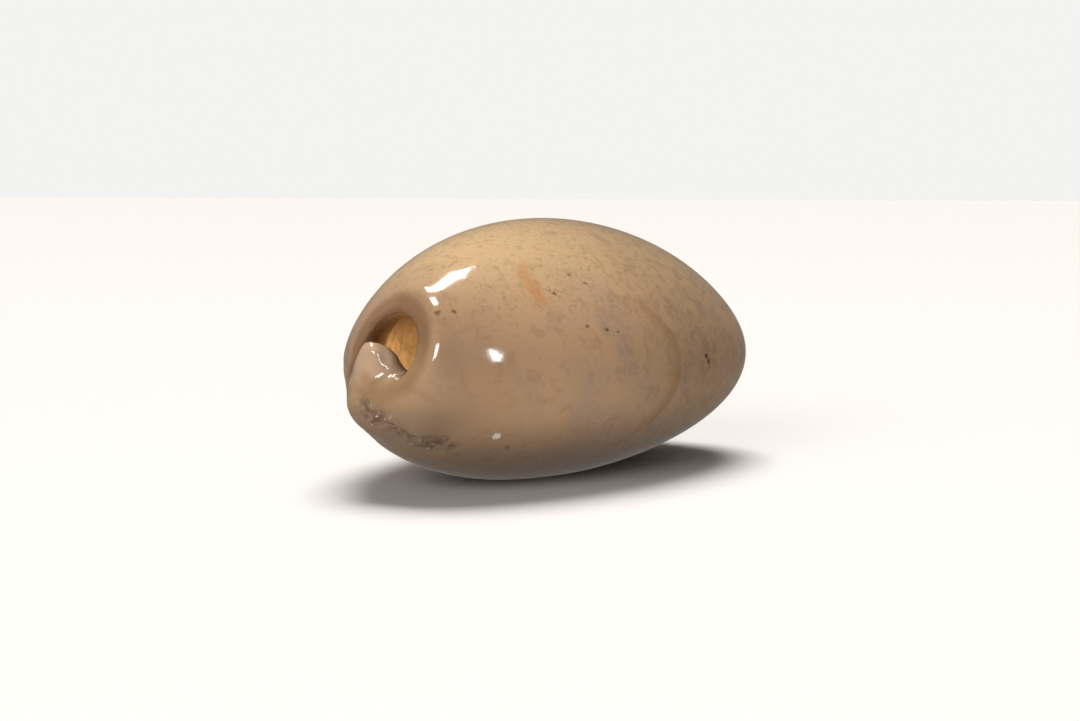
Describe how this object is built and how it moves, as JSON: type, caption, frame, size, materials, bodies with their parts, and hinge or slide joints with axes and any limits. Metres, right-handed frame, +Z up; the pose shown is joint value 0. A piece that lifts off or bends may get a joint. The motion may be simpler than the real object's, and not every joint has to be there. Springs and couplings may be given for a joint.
{
  "type": "cowrie shell",
  "caption": "Glossy egg-shaped cowrie shell, hollow, with a narrow toothed opening underneath, a round canal with a knob at the front end and a small canal at the back end.",
  "frame": {"origin": "centre of the shell's outline on the surface that it rests on", "axes": "+X from the front end, with the round canal and the knob, to the back end; +Y towards the side of the outer lip; +Z up, out of the back of the shell"},
  "size_m": [0.0804, 0.0496, 0.0377],
  "materials": {
    "shell": "glossy, enamel-like, beige with faint orange mottling"
  },
  "bodies": {
    "root": {"shell": "shell"}
  },
  "joints": []
}
